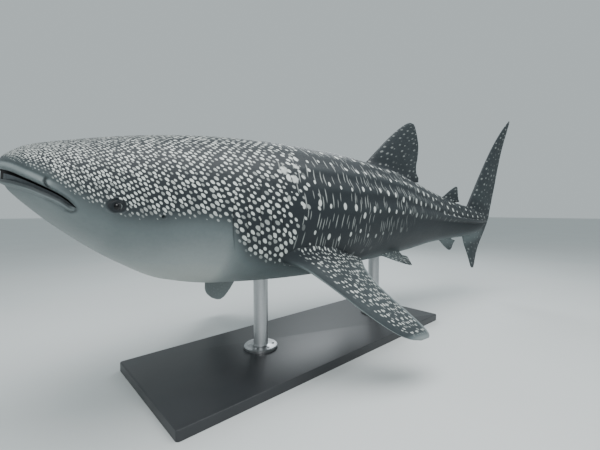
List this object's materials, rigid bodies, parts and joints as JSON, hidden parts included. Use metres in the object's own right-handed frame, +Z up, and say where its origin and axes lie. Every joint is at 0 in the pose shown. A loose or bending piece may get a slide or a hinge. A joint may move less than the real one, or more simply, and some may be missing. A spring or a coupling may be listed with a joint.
{
  "type": "whale shark display model",
  "caption": "life-size still model of a swimming whale shark with spotted skin, spread fins and a slightly open mouth, held on a flat base by two short rods",
  "frame": {"origin": "middle of the bottom of the box round the whole model, at the level of the underside of the stand's base", "axes": "+X runs from the snout towards the tail, +Y towards the animal's right side, +Z up"},
  "size_m": [5.3376, 2.1128, 2.3577],
  "materials": {
    "skin": "smooth shark skin, blue-grey with pale spots above and pale grey below",
    "eye": "dark wet eye",
    "stand_paint": "satin charcoal paint",
    "stand_steel": "brushed steel"
  },
  "bodies": {
    "root": {"head": "skin", "lower_jaw": "skin", "gill_region": "skin", "trunk": "skin", "tail_stalk": "skin", "first_dorsal_fin": "skin", "second_dorsal_fin": "skin", "anal_fin": "skin", "caudal_fin": "skin", "pectoral_fin_left": "skin", "pectoral_fin_right": "skin", "pelvic_fin_left": "skin", "pelvic_fin_right": "skin", "eye_left": "eye", "eye_right": "eye", "stand_base": "stand_paint", "stand_rod_front": "stand_steel", "stand_rod_rear": "stand_steel"}
  },
  "joints": []
}
